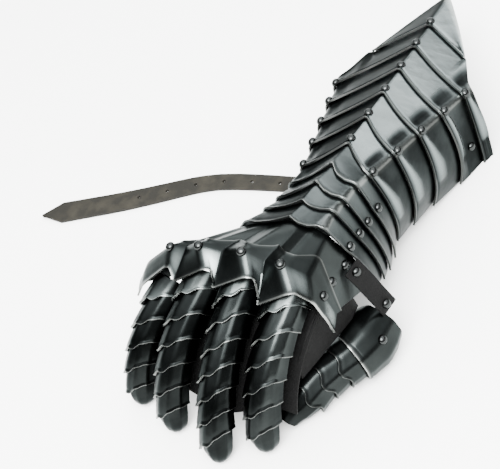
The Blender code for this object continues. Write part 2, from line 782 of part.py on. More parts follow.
def add_box(mesh, centre, size):
    made = bmesh.ops.create_cube(mesh, size=1.0)
    bmesh.ops.scale(mesh, vec=size, verts=made["verts"])
    bmesh.ops.translate(mesh, vec=centre, verts=made["verts"])


def buckle():
    """A plain frame with its bar and pin in one piece, and the tab that holds it."""
    long, wide, high = BUCKLE_SIZE
    reach = BUCKLE_CENTRE[0] + long / 2 + PIECE_GAP
    line = np.vstack([BUCKLE_TAB_LINE, (reach, BUCKLE_CENTRE[1], BUCKLE_CENTRE[2])])
    across = straight_across((0.0, 1.0, 0.0), len(line))
    widths = [STRAP_NECK_WIDTH] * len(line)
    ribbon("buckle_tab", line, across, widths, STRAP_THICK, leather("buckle_tab"))
    mesh = bmesh.new()
    add_box(mesh, BUCKLE_CENTRE, BUCKLE_SIZE)
    frame = node_from_bmesh("buckle", mesh, surface("buckle_steel", (0.1, 0.1, 0.09), 0.3, 1.0))
    opening = (long - 3 * BUCKLE_BAR) / 2
    shift = (opening + BUCKLE_BAR) / 2
    mesh = bmesh.new()
    x, y, z = BUCKLE_CENTRE
    add_box(mesh, (x + shift, y, z), (opening, wide - 2 * BUCKLE_BAR, high * 2))
    half = (wide - 3 * BUCKLE_BAR) / 2
    for side in (-1, 1):
        add_box(mesh, (x - shift, y + side * (half + BUCKLE_BAR) / 2, z), (opening, half, high * 2))
    cutter = node_from_bmesh("buckle_openings", mesh, None, hidden=True)
    cut = frame.modifiers.new("openings", "BOOLEAN")
    cut.operation = "DIFFERENCE"
    cut.solver = "EXACT"
    cut.object = cutter


def main():
    clear_scene()
    for number in range(CUFF_LAMES - 1):
        cuff_lame(number)
    cuff_point()
    for number in (1, 2, 3, 4):
        wrist_lame(number)
    hand_plate()
    knuckle_plate()
    for finger in FINGERS:
        finger_lames(finger)
        finger_stall(finger)
    thumb_plates()
    thumb_stall()
    hinge_tab()
    palm_leather()
    palm_strip()
    thumb_web()
    strap()
    buckle()


main()
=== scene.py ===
"""Looks for an armoured gauntlet: blackened steel lames, domed rivets and black leather.

Places are in millimetres in the part's own layout, as its source has them, and to_frame()
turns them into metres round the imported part's origin.
"""

import math

import bmesh
import bpy
import numpy as np
from mathutils import Matrix, Vector


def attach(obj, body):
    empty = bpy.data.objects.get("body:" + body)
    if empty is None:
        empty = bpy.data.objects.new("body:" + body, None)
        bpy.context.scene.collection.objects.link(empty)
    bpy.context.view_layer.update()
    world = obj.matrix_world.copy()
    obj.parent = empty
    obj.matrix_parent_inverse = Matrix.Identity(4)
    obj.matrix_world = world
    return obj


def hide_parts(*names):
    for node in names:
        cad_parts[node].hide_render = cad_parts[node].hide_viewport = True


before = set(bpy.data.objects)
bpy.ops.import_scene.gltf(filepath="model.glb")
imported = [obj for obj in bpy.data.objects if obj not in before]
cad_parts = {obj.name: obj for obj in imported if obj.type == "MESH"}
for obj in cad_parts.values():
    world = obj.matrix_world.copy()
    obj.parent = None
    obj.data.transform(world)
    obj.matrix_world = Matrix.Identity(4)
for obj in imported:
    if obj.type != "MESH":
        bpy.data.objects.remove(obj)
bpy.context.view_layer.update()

MM = 0.001

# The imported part's origin, as a place in the layout
FRAME_ORIGIN = Vector((-98.56, 36.55, -0.06))

# Sheet, edges and rivets
STEEL_THICK = 1.2
LEATHER_THICK = 1.3
CUFF_RISE = 2.3
CUFF_OVERLAP = 0.2
RIM_WIDTH = 0.9
RIM_HEIGHT = 0.3
GROOVE_FROM_EDGE = 2.3
GROOVE_DEPTH = 0.32
GROOVE_WIDTH = 0.45
EDGE_ROUNDING = 0.22
LEATHER_ROUNDING = 0.3
RIVET_RADIUS = 2.9
RIVET_HEIGHT = 2.4
RIVET_SUNK = 0.15

# Sizes of the surface patterns, as repeats to a metre: oxide clouds 25 mm across, rubbing marks
# 0.7 mm apart (coarser than real ones so that they show), leather creases 9 mm apart, floor 330 mm
OXIDE_CLOUDS = 40.0
RUBBING_MARKS = 1400.0
LEATHER_CREASES = 110.0
FLOOR_CLOUDS = 3.0

# Cuff, as in the part: points on the ridges at lame line 0 and the step to the next line
CUFF_MIDDLE = np.array((-2.0, 0.0, 0.0))
CUFF_TOP_START = np.array((0.0, 40.0, 80.5))
CUFF_TOP_STEP = np.array((0.0, 26.6, -5.65))
CUFF_SIDE_START = np.array((18.7, 18.0, 82.0))
CUFF_SIDE_STEP = np.array((5.5, 23.4, -6.8))
CUFF_TIP_AT = 6.43
CUFF_END_AT = 4.36
POINT_REACH = 0.66
LAST_LAME = 4
WALL_UPPER_BULGE = 0.85
WALL_KNOTS = (0.32, 0.66)
EDGE_BOW = 2.0
LAME_PITCH = 27.0
CUFF_RIVET_ROW = 0.15
LAST_SIDE_RIVET_ROW = 0.3
STRAP_RIVET_LAME = 3
STRAP_RIVET_AT = (1.66, 0.62)

# Flute down the wall behind each lame's edge: millimetres across it, and shares of the wall down it
FLUTE_START = 2.2
FLUTE_MOUTH = 2.8
FLUTE_WIDTH = 8.5
FLUTE_HEIGHT = 1.3
FLUTE_WIDE_AT = 0.45
FLUTE_ROUND_AT = 0.46
FLUTE_END = 0.7
FLUTE_CREST = 0.3

# Shallow hollow beside each side ridge, with painted shade in it on the thumb-side facet: share of the
# facet, then millimetres from the edge
DISH_DEPTH = 0.9
DISH_COLUMN = (0.88, 0.11)
DISH_DISTANCE = (14.0, 11.0)

# How bright each face is made, from 0 to 1: a painted highlight on the thumb-side facets of cuff and wrist
# (fading at the free edge), the flutes, the upper wrist walls, the knuckle facets and the index finger's
# thumb side; elsewhere the plates' own tone
THUMB_FACET_PAINTED_HIGHLIGHT = 0.6
PAINTED_HIGHLIGHT_LOST_AT_EDGE = 0.22
FLUTE_PAINTED_HIGHLIGHT = 0.55
WALL_SHINE = 0.02
WRIST_FACET_PAINTED_HIGHLIGHT = 0.27
WRIST_WALL_PAINTED_HIGHLIGHT = 0.16
HAND_SHINE = 0.13
KNUCKLE_SHINE = 0.1
KNUCKLE_PAINTED_HIGHLIGHT = 0.8
FIRST_LAME_SHINE = 0.45
INDEX_SIDE_PAINTED_HIGHLIGHT = 0.35
FINGER_SHINE = 0.05
THUMB_SHINE = 0.1
RIVET_SHINE = 0.14

# Foot line of the cuff wall: lame line, across, along, height, bulge of the wall
CUFF_FEET = np.array((
    (0.0, 18.0, 24.0, 20.0, 4.5),
    (1.0, 21.0, 42.0, 14.0, 4.5),
    (2.0, 26.0, 63.0, 9.0, 4.5),
    (3.0, 34.5, 88.0, 2.5, 4.0),
    (3.4, 38.0, 97.0, 0.0, 0.1),
    (4.36, 47.0, 117.0, 0.0, 1.2),
))

# Wrist rails: line, then little-finger ridge, top ridge, thumb ridge, little-finger foot, thumb foot
WRIST = (
    (-4.0, (-38, -31, 83), (-8, -30, 91), (13.5, -38, 97), (-48, -28, 50), (25, -26, 40)),
    (-3.0, (-31, -18, 82.5), (-6, -17, 91), (14.5, -24, 96), (-38, -14, 38), (25, -14, 31)),
    (-2.0, (-27, -9, 82), (-4, -3, 91.5), (15.2, -13, 93.5), (-30, -4, 29), (24, -4, 26)),
    (-1.0, (-23.5, 2, 81.5), (-2.5, 12, 88.5), (15.9, 1, 89.5), (-23, 8, 23), (22, 8, 22)),
    (0.0, (-20.7, 18, 82), (-2, 40, 80.5), (16.7, 18, 82), (-18, 24, 20), (18, 24, 20)),
)
WRIST_BULGE = 4.5
WRIST_PITCH = 15.0
WRIST_RIVET_AT = (1.32, 0.28)

# Knuckle crease: across, along, height, reach toward the wrist and the fingers, lean of the lower edge
KNUCKLES = np.array((
    (-97.5, -64.5, 62.0, 5.0, 8.0, 0.0),
    (-90.5, -59.5, 74.0, 6.0, 12.0, -1.0),
    (-69.0, -58.0, 92.0, 6.0, 10.0, 0.0),
    (-58.5, -58.0, 92.5, 11.0, 19.0, -5.0),
    (-47.0, -61.0, 101.5, 6.0, 11.0, 6.0),
    (-34.0, -60.0, 97.0, 12.0, 20.0, -3.0),
    (-20.0, -62.0, 103.5, 6.0, 12.0, 6.0),
    (-9.0, -60.0, 95.0, 12.0, 24.0, -1.0),
    (3.0, -64.0, 100.0, 7.0, 14.0, 8.0),
    (14.5, -62.0, 91.5, 13.0, 14.0, 4.0),
    (19.5, -65.0, 78.5, 9.0, 12.0, 3.5),
    (22.0, -63.0, 61.0, 5.0, 10.0, 0.0),
))
KNUCKLE_FALL = np.array((0.0, -0.82, -0.57))
KNUCKLE_RISE = 0.6
HAND_UNDER_KNUCKLES = 2.5
HAND_RIVET_INSETS = (8.0, 10.0)

# Fingers: name, lames, start, tip, sag of the arc, share of the full width
FINGERS = (
    ("little", 5, (-76.0, -65.5, 74.5), (-103.0, -113.0, 3.2), 12.0, 0.9),
    ("ring", 6, (-49.5, -65.5, 87.5), (-74.0, -126.0, 3.1), 14.0, 1.0),
    ("middle", 7, (-23.5, -66.0, 91.0), (-38.0, -139.0, 3.4), 15.0, 1.0),
    ("index", 6, (4.0, -68.0, 87.7), (-14.0, -126.0, 3.2), 14.0, 1.02),
)
FINGER_HALF_WIDTH = 9.2
FINGER_DEPTH = 13.5
FINGER_TAPER = 0.84
FINGER_RISE = 2.1
FIRST_LAME_RISE = (3.3, 2.6)
FIRST_LAME_WIDTH = 0.87
LAME_SLANT = 9.5
LAME_WAVE = 0.6
LAMES_END = 0.86
LAME_COVER = 1.3
FINGER_EASE = 0.12

# Section of a finger lame: share of the half width, share of the depth
FINGER_SECTION = np.array((
    (-1.0, -1.0), (-1.0, -0.5), (-0.62, -0.14), (0.0, 0.0), (0.62, -0.14), (1.0, -0.5), (1.0, -1.0),
))

# Thumb: across, along, height, share of the half width
THUMB_LINE = np.array((
    (38.5, -36.0, 24.5, 1.2),
    (36.5, -53.0, 25.0, 1.3),
    (30.5, -65.3, 24.0, 1.15),
    (22.8, -73.6, 22.5, 1.0),
    (15.5, -83.0, 21.0, 1.0),
    (9.3, -93.3, 18.0, 0.95),
    (3.3, -101.0, 14.2, 0.85),
    (-2.2, -106.5, 8.8, 0.5),
))
THUMB_HALF_WIDTH = 10.5
THUMB_DEPTH = 12.0
THUMB_RISE = 2.5
THUMB_PITCH = 15.0
THUMB_WAVE = 2.4
THUMB_LAME_LENGTH = 16.0
THUMB_BASE_LENGTH = 30.0
THUMB_RIVET_ROW = 0.58
THUMB_FACING = np.array((0.75, -0.36, 0.55))

# Strap centre line: across, along, height, width
STRAP_LINE = np.array((
    (-29.7, 71.0, 24.0, 13.0),
    (-26.4, 71.0, 12.0, 13.0),
    (-26.4, 71.0, 4.2, 13.0),
    (-33.0, 71.0, 1.6, 13.0),
    (-52.0, 71.5, 1.3, 13.0),
    (-74.0, 71.0, 1.3, 13.0),
    (-101.0, 69.0, 1.3, 13.5),
    (-127.0, 66.0, 1.3, 14.0),
    (-144.0, 60.0, 1.3, 15.0),
    (-164.0, 50.0, 1.3, 16.0),
    (-190.0, 38.0, 1.3, 17.0),
    (-233.0, 21.0, 1.3, 18.0),
    (-246.9, 15.5, 1.3, 1.6),
))
STRAP_THICK = 2.0
STRAP_FIRST_HOLE = 72.0
STRAP_HOLE_PITCH = 20.5
STRAP_HOLES = 6
STRAP_HOLE_RADIUS = 1.2
STRAP_STATIONS = 90
STRAP_SOFTNESS = 12.0
STRAP_BEND_SOFTNESS = 2.5
PUNCH_LENGTH = 12.0

# Leather behind the fingers, a near-black sheet that stands for the glove's palm and paints the shade in
# the gaps between them: share of the finger arcs that it runs along, how far below them it lies, and how
# far past the index finger it reaches toward the thumb, a little deeper there
BACKING_REACH = 0.78
BACKING_DEPTH = 18.6
BACKING_SIDE = 13.0
BACKING_SIDE_DROP = 3.0

# Rivets of the strip that hangs the thumb: across, along, height
HINGE_RIVETS = ((28.2, -37.7, 67.3), (38.2, -34.9, 37.5))
HINGE_FACING = (0.9, -0.35, 0.25)

# Camera: place in metres, and its right and up directions
CAMERA_AT = Vector((0.39807, -0.45288, 0.60535))
CAMERA_RIGHT = Vector((0.880, 0.383, -0.282))
CAMERA_UP = Vector((-0.127, 0.760, 0.637))
CAMERA_LENS = 93.6
SENSOR_WIDTH = 36.0

# Soft lights: name, direction, distance, size in metres, watts
LIGHTS = (
    ("key", (-0.25, 0.88, 0.45), 1.1, (0.9, 0.3), 9.0),
    ("top", (0.25, -0.55, 1.0), 1.5, (1.0, 1.0), 150.0),
    ("side", (1.0, 0.15, 0.16), 1.3, (0.7, 0.25), 1.6),
)
LIGHT_AIM = Vector((0.05, 0.0, 0.05))


def unit(vector):
    """The same direction with a length of one."""
    return vector / np.linalg.norm(vector)


def to_frame(point):
    """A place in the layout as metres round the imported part's origin."""
    return (Vector(point) - FRAME_ORIGIN) * MM


def linear(code):
    """A linear colour from an sRGB hex code."""
    found = []
    for k in (1, 3, 5):
        level = int(code[k:k + 2], 16) / 255
        found.append(level / 12.92 if level <= 0.04045 else ((level + 0.055) / 1.055) ** 2.4)
    return (*found, 1.0)


def add_node(tree, kind, inputs=(), **settings):
    """A shader node with its settings; inputs pairs a socket with a value or another socket."""
    made = tree.nodes.new(kind)
    for name, value in settings.items():
        setattr(made, name, value)
    for socket, value in dict(inputs).items():
        if isinstance(value, bpy.types.NodeSocket):
            tree.links.new(value, made.inputs[socket])
        else:
            made.inputs[socket].default_value = value
    return made


def new_material(name, fixed):
    """A material with its constant values set on the shader's own sockets."""
    made = bpy.data.materials.new(name)
    made.use_nodes = True
    shader = made.node_tree.nodes["Principled BSDF"]
    for socket, value in fixed.items():
        shader.inputs[socket].default_value = value
    return made, made.node_tree, shader


def blackened_steel(name, dark, rub_and_painted_sheen, rough_dark=0.34, rough_buffed=0.2):
    """Sheet steel blackened in hot oil: a dark mirror, brighter by a share that is partly the plate's own
    rubbed tone and partly painted highlight, and pale at worn edges and painted edge highlights.
    """
    made, tree, shader = new_material(name, {"Metallic": 1.0, "Specular Tint": linear("#cacccc")})
    spot = add_node(tree, "ShaderNodeTexCoord").outputs["Object"]
    # Per-point share of rubbed tone and painted highlight, and edge brightness of worn edges and painted
    # edge highlights
    rub_and_sheen_share = add_node(tree, "ShaderNodeAttribute", attribute_name="rub_and_painted_sheen").outputs["Fac"]
    edge_wear_and_highlight = add_node(tree, "ShaderNodeAttribute", attribute_name="edge_wear_and_highlight").outputs["Fac"]
    clouds = add_node(tree, "ShaderNodeTexNoise", {"Vector": spot, "Scale": OXIDE_CLOUDS, "Detail": 3.0})
    grain = add_node(
        tree, "ShaderNodeTexNoise", {"Vector": spot, "Scale": RUBBING_MARKS, "Detail": 2.0})
    uneven = add_node(
        tree, "ShaderNodeMath", {0: clouds.outputs["Fac"], 1: 0.16, 2: -0.09},
        operation="MULTIPLY_ADD")
    share = add_node(tree, "ShaderNodeMath", {0: rub_and_sheen_share, 1: uneven.outputs[0]}, use_clamp=True)
    tone = add_node(
        tree, "ShaderNodeMix", {0: share.outputs[0], 6: linear(dark), 7: linear(rub_and_painted_sheen)}, data_type="RGBA")
    # Edges go pale grey: worn edges, and a painted highlight along the cuff's thumb-side edges and ridge
    pale_edge_wear_and_highlight = add_node(
        tree, "ShaderNodeMix", {0: edge_wear_and_highlight, 6: tone.outputs[2], 7: linear("#b9bcb8")}, data_type="RGBA")
    tree.links.new(pale_edge_wear_and_highlight.outputs[2], shader.inputs["Base Color"])
    rough = add_node(tree, "ShaderNodeMapRange", {
        "Value": share.outputs[0], "To Min": rough_dark, "To Max": rough_buffed})
    tree.links.new(rough.outputs[0], shader.inputs["Roughness"])
    marks = add_node(
        tree, "ShaderNodeBump", {"Height": grain.outputs["Fac"], "Strength": 0.05, "Distance": 0.0002})
    dents = add_node(tree, "ShaderNodeBump", {
        "Height": clouds.outputs["Fac"], "Strength": 0.25, "Distance": 0.002, "Normal": marks.outputs[0]})
    tree.links.new(dents.outputs[0], shader.inputs["Normal"])
    return made


def oiled_leather(name, colour, worn_colour, pore_mm, roughness):
    """Oiled cowhide: a matt, fine pebbled grain with soft creases, paler on the high places."""
    made, tree, shader = new_material(name, {"Specular IOR Level": 0.08})
    spot = add_node(tree, "ShaderNodeTexCoord").outputs["Object"]
    pores = add_node(tree, "ShaderNodeTexVoronoi", {"Vector": spot, "Scale": 1000.0 / pore_mm})
    folds = add_node(tree, "ShaderNodeTexNoise", {"Vector": spot, "Scale": LEATHER_CREASES, "Detail": 4.0})
    wear = add_node(tree, "ShaderNodeMapRange", {
        "Value": folds.outputs["Fac"], "From Min": 0.42, "From Max": 0.72})
    tone = add_node(tree, "ShaderNodeMix", {
        0: wear.outputs[0], 6: linear(colour), 7: linear(worn_colour)}, data_type="RGBA")
    tree.links.new(tone.outputs[2], shader.inputs["Base Color"])
    rough = add_node(tree, "ShaderNodeMapRange", {
        "Value": folds.outputs["Fac"], "To Min": roughness - 0.1, "To Max": roughness + 0.15})
    tree.links.new(rough.outputs[0], shader.inputs["Roughness"])
    grain = add_node(tree, "ShaderNodeBump", {
        "Height": pores.outputs["Distance"], "Strength": 0.35, "Distance": 0.0003})
    creases = add_node(tree, "ShaderNodeBump", {
        "Height": folds.outputs["Fac"], "Strength": 0.5, "Distance": 0.001, "Normal": grain.outputs[0]})
    tree.links.new(creases.outputs[0], shader.inputs["Normal"])
    return made


def floor_material():
    """Matt painted board: pale and plain, with the faintest unevenness."""
    made, tree, shader = new_material("matt_painted_board", {"Roughness": 0.85})
    spot = add_node(tree, "ShaderNodeTexCoord").outputs["Object"]
    clouds = add_node(tree, "ShaderNodeTexNoise", {"Vector": spot, "Scale": FLOOR_CLOUDS})
    tone = add_node(tree, "ShaderNodeMix", {
        0: clouds.outputs["Fac"], 6: linear("#f2f2f0"), 7: linear("#efefed")}, data_type="RGBA")
    tree.links.new(tone.outputs[2], shader.inputs["Base Color"])
    return made


def finish_piece(name, mesh, material, nodes, levels=0):
    """Turns a bmesh into a piece that rides on the part and stands for its CAD nodes."""
    data = bpy.data.meshes.new(name)
    mesh.to_mesh(data)
    mesh.free()
    for face in data.polygons:
        face.use_smooth = True
    data.materials.append(material)
    made = bpy.data.objects.new(name, data)
    bpy.context.scene.collection.objects.link(made)
    if levels:
        rounding = made.modifiers.new("rounding", "SUBSURF")
        rounding.levels = levels
        rounding.render_levels = levels
    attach(made, "root")
    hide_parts(*nodes)
    return made


def eased(place, reach):
    """The same surface with its creases rounded over a short reach of the column number."""
    def found(column, row):
        before, after = place(column - reach, row), place(column + reach, row)
        return before * 0.25 + place(column, row) * 0.5 + after * 0.25
    return found


def columns_between(start, end, pitch, creases, reach):
    """Column numbers at an even pitch, with a few close together at each crease."""
    found = set(np.round(np.linspace(start, end, int(round((end - start) / pitch)) + 1), 4))
    for crease in creases:
        found = {c for c in found if abs(c - crease) > reach * 2.4}
        for share in (-2.0, -1.0, -0.4, 0.4, 1.0, 2.0):
            at = crease + share * reach
            if start <= at <= end:
                found.add(round(at, 4))
    return sorted(found | {start, end})


# Rows of a plate from its free edge inward, close together where the bead and the groove run
CUFF_ROWS = (
    0.0, 0.018, 0.035, 0.06, 0.08, 0.1, 0.13, 0.17, 0.21, 0.25, 0.29, 0.33, 0.38, 0.44, 0.52, 0.62,
    0.75, 1.0,
)
ROWS = (0.0, 0.018, 0.035, 0.06, 0.08, 0.1, 0.13, 0.2, 0.32, 0.5, 0.75, 1.0)


def lip(distance):
    """Lift of the surface at a distance in millimetres from a free edge: bead, then groove."""
    bead = RIM_HEIGHT * math.exp(-((distance / RIM_WIDTH) ** 2))
    groove = GROOVE_DEPTH * math.exp(-(((distance - GROOVE_FROM_EDGE) / GROOVE_WIDTH) ** 2))
    return bead - groove


def panel(
        name, columns, rows, place, lift, material, nodes, away=(0, 0, 1), thick=STEEL_THICK, even=False):
    """A bent sheet: a grid laid over place(column, row), lifted along its normals, made solid.

    lift(column, row) gives the height, the edge brightness (worn edge and painted edge highlight)
    and the share of rubbed tone and painted highlight. With even set, each column is lifted one way,
    so that a wavy edge stays smooth.
    """
    mesh = bmesh.new()
    bmesh.ops.create_grid(mesh, x_segments=len(columns) - 1, y_segments=len(rows) - 1, size=0.5)
    edge_wear_and_highlight = mesh.verts.layers.float.new("edge_wear_and_highlight")
    rub_and_painted_sheen = mesh.verts.layers.float.new("rub_and_painted_sheen")
    at = {}
    for vert in mesh.verts:
        column = columns[round((vert.co.x + 0.5) * (len(columns) - 1))]
        row = rows[round((vert.co.y + 0.5) * (len(rows) - 1))]
        at[vert] = (column, row)
    for vert, (column, row) in at.items():
        vert.co = to_frame(place(column, row))
    mesh.normal_update()
    facing = sum((face.normal * face.calc_area() for face in mesh.faces), Vector())
    if facing.dot(Vector(away)) < 0:
        bmesh.ops.reverse_faces(mesh, faces=mesh.faces)
        mesh.normal_update()
    normals = {vert: vert.normal.copy() for vert in mesh.verts}
    if even:
        sums = {}
        for vert, (column, row) in at.items():
            sums[column] = sums.get(column, Vector()) + vert.normal
        normals = {vert: sums[at[vert][0]].normalized() for vert in mesh.verts}
    for vert, (column, row) in at.items():
        height, edge, tone_and_painted_sheen = lift(column, row)
        vert.co += normals[vert] * height * MM
        vert[edge_wear_and_highlight] = edge
        vert[rub_and_painted_sheen] = tone_and_painted_sheen
    made = finish_piece(name, mesh, material, nodes)
    wall = made.modifiers.new("thickness", "SOLIDIFY")
    wall.thickness = thick * MM
    wall.offset = -1.0
    edges = made.modifiers.new("edges", "BEVEL")
    edges.width = EDGE_ROUNDING * MM
    edges.segments = 2
    edges.limit_method = "ANGLE"
    edges.angle_limit = math.radians(60)
    shading = made.modifiers.new("shading", "WEIGHTED_NORMAL")
    shading.keep_sharp = True
    return made


rivets = []


def add_rivet(place, lift, column, row, away):
    """Notes a rivet head that stands on a panel at a column and row."""
    step = 0.02
    spot = place(column, row)
    side = place(column + step, row) - place(column - step, row)
    ahead = place(column, row + step) - place(column, row - step)
    normal = unit(np.cross(side, ahead))
    if normal @ np.array(away) < 0:
        normal = -normal
    height = lift(column, row)[0]
    rivets.append((spot + normal * (height - RIVET_SUNK), normal))


def rivet_heads(material):
    """All the domed heads, each a flattened ball half sunk in its plate."""
    mesh = bmesh.new()
    for centre, normal in rivets:
        turn = Vector(normal).to_track_quat("Z", "X").to_matrix().to_4x4()
        place = Matrix.Translation(to_frame(centre)) @ turn
        shape = Matrix.Diagonal((RIVET_RADIUS, RIVET_RADIUS, RIVET_HEIGHT, 1.0)) * MM
        shape[3][3] = 1.0
        bmesh.ops.create_uvsphere(mesh, u_segments=20, v_segments=12, radius=1.0, matrix=place @ shape)
    rub_and_painted_sheen = mesh.verts.layers.float.new("rub_and_painted_sheen")
    for vert in mesh.verts:
        vert[rub_and_painted_sheen] = RIVET_SHINE
    return finish_piece("rivet_heads", mesh, material, [])


# Cuff and wrist

def wall_points(ridge, foot, out):
    """The two points between a side ridge and its foot that give the wall its bulge."""
    high, low = WALL_KNOTS
    upper = ridge * (1 - high) + foot * high + out * WALL_UPPER_BULGE
    return upper, ridge * (1 - low) + foot * low + out


def cuff_rails(line, side):
    """Top ridge, side ridge, two wall points and foot of the cuff at a lame line."""
    mirror = np.array((side, 1.0, 1.0))
    top = CUFF_TOP_START + line * CUFF_TOP_STEP + CUFF_MIDDLE
    ridge = (CUFF_SIDE_START + line * CUFF_SIDE_STEP) * mirror + CUFF_MIDDLE
    foot = np.array([np.interp(line, CUFF_FEET[:, 0], CUFF_FEET[:, k]) for k in (1, 2, 3)]) * mirror
    out = np.array((np.interp(line, CUFF_FEET[:, 0], CUFF_FEET[:, 4]) * side, 0.0, 0.0))
    return [top, ridge, *wall_points(ridge, foot, out), foot]


def wrist_rails(line, side):
    """The same five points of the wrist, whose lines are numbered down from 0."""
    lines = [row[0] for row in WRIST]
    picks = (2, 1, 4) if side < 0 else (2, 3, 5)
    found = []
    for pick in picks:
        rail = np.array([row[pick] for row in WRIST], float)
        found.append(np.array([np.interp(line, lines, rail[:, k]) for k in range(3)]))
    top, ridge, foot = found
    out = np.array((WRIST_BULGE * side, 0.0, 0.0))
    return [top, ridge, *wall_points(ridge, foot, out), foot]


def sleeve_spot(column, line):
    """Point on the cuff or wrist: column 0 is the top ridge, 1 a side ridge and 2 its foot."""
    side = -1.0 if column < 0 else 1.0
    rails = cuff_rails if line > 0 else wrist_rails
    top, ridge, upper, lower, foot = rails(line, side)
    share = min(abs(column), 2.0)
    if share <= 1:
        return top * (1 - share) + ridge * share
    t = share - 1
    knots = (0.0, *WALL_KNOTS, 1.0)
    found = np.zeros(3)
    for k, point in enumerate((ridge, upper, lower, foot)):
        weight = 1.0
        for m, other in enumerate(knots):
            if m != k:
                weight *= (t - other) / (knots[k] - other)
        found += point * weight
    return found


SLEEVE_EASE = 0.035
sleeve_soft = eased(sleeve_spot, SLEEVE_EASE)


def cuff_edge(share):
    """The lame line at which the elbow end is cut, from its point to the side ridge."""
    return CUFF_TIP_AT - (CUFF_TIP_AT - CUFF_END_AT) * min(abs(share), 1.0)


def flute(column, distance):
    """Share of the full height of the tapered flute that runs down the wall behind a lame's edge."""
    down = abs(column) - 1.0
    if not 0 < down < FLUTE_END:
        return 0.0
    across = (distance - FLUTE_START) / (FLUTE_MOUTH + FLUTE_WIDTH * min(down / FLUTE_WIDE_AT, 1.0))
    if not 0 < across < 1:
        return 0.0
    past = max(down - FLUTE_ROUND_AT, 0.0) / (FLUTE_END - FLUTE_ROUND_AT)
    end = math.sqrt(max(1 - past**2, 0.0)) * min(down / 0.06, 1.0)
    steep = math.sin(math.pi / 2 * min(across / FLUTE_CREST, 1.0))
    gentle = math.cos(math.pi / 2 * max(across - FLUTE_CREST, 0) / (1 - FLUTE_CREST))
    return steep * gentle * end


def dish(column, distance):
    """Share of the depth of the shallow hollow that each facet has beside its side ridge."""
    across = (abs(column) - DISH_COLUMN[0]) / DISH_COLUMN[1]
    along = (distance - DISH_DISTANCE[0]) / DISH_DISTANCE[1]
    return math.exp(-(across**2) - along**4)


def sleeve_painted_sheen(column, distance):
    """The painted light on the steel: a painted highlight, most on the thumb-side facet with painted shade
    in its hollow and least toward the feet, where only the flutes get it.
    """
    share = abs(column)
    if share > 1:
        return WALL_SHINE + FLUTE_PAINTED_HIGHLIGHT * flute(column, distance)
    if column > 0:
        # Painted shade in the hollow beside the thumb-side ridge
        hollow = min(dish(column, distance) * 1.5, 1.0)
        tone_and_painted_sheen = THUMB_FACET_PAINTED_HIGHLIGHT - PAINTED_HIGHLIGHT_LOST_AT_EDGE * math.exp(-distance / 4.0)
        return tone_and_painted_sheen * (1 - 0.95 * hollow)
    return 0.0


def sleeve_edge_highlight_and_wear(column, distance):
    """How bright the steel's edges are made: a painted highlight along the free edge of the thumb-side
    facet and along its side ridge, and faint wear on the other edges.
    """
    edge = math.exp(-((distance / 0.5) ** 2))
    ridge = math.exp(-(((column - 1.0) / 0.02) ** 2)) * 0.25
    return max(edge * (0.35 if 0 < column <= 1 else 0.05), ridge)


def cuff_lame(number, steel):
    """One plate of the cuff, from its free edge at a lame line to under the next plate."""
    def line_at(column, row):
        end = min(number + 1 + CUFF_OVERLAP, cuff_edge(column))
        bow = EDGE_BOW / LAME_PITCH * math.sin(math.pi * min(abs(column), 1.0)) * (1 - row) ** 2
        return number + row * (end - number) - bow

    def place(column, row):
        return sleeve_soft(column, line_at(column, row))

    def lift(column, row):
        distance = (line_at(column, row) - line_at(column, 0.0)) * LAME_PITCH
        height = CUFF_RISE * (1 - row) + STEEL_THICK + lip(distance)
        if number == LAST_LAME and abs(column) > POINT_REACH:
            end = (line_at(column, 1.0) - line_at(column, row)) * LAME_PITCH
            height = CUFF_RISE * (1 - 0.08 * row) + STEEL_THICK + lip(distance) + lip(end)
        height += FLUTE_HEIGHT * flute(column, distance) - DISH_DEPTH * dish(column, distance)
        return height, sleeve_edge_highlight_and_wear(column, distance), sleeve_painted_sheen(column, distance)

    columns = columns_between(-2.0, 2.0, 0.05, (-1.0, 0.0, 1.0), SLEEVE_EASE)
    node = "cuff_lame_%d" % (number + 1)
    panel(node + "_steel", columns, CUFF_ROWS, place, lift, steel, [node])
    side_row = LAST_SIDE_RIVET_ROW if number == LAST_LAME else CUFF_RIVET_ROW
    heads = [(0.0, CUFF_RIVET_ROW), (-1.0, side_row), (1.0, side_row)]
    if number == STRAP_RIVET_LAME:
        column, row = STRAP_RIVET_AT
        heads += [(-column, row), (column, row)]
    for column, row in heads:
        add_rivet(place, lift, column, row, (math.copysign(min(abs(column), 1) * 0.6, column), 0, 1))


def cuff_point(steel):
    """The pointed plate over the elbow."""
    start = LAST_LAME + 1.0

    def place(column, row):
        column = max(min(column, POINT_REACH), -POINT_REACH)
        return sleeve_soft(column, start + row * (cuff_edge(column) - start))

    def lift(column, row):
        length = (cuff_edge(column) - start) * LAME_PITCH
        distance, end = row * length, (1 - row) * length
        height = CUFF_RISE * (1 - 0.4 * row) + STEEL_THICK + lip(distance) + lip(end)
        # Painted highlight on the thumb-side half of the point
        tone_and_painted_sheen = THUMB_FACET_PAINTED_HIGHLIGHT if column > 0 else 0.06
        return height, sleeve_edge_highlight_and_wear(column, min(distance, end)), tone_and_painted_sheen

    columns = columns_between(-POINT_REACH, POINT_REACH, 0.06, (0.0,), SLEEVE_EASE)
    panel("cuff_point_steel", columns, ROWS, place, lift, steel, ["cuff_point"])
    add_rivet(place, lift, 0.0, 0.11, (0, 0, 1))


def wrist_cusp(column):
    """How far the free edge of a wrist lame rises toward the elbow, in lame pitches."""
    share = min(abs(column), 2.0)
    return 0.22 * max(1 - share * 2.2, 0.0) ** 1.5 + 0.16 * max(1 - abs(share - 1) * 3.5, 0.0)


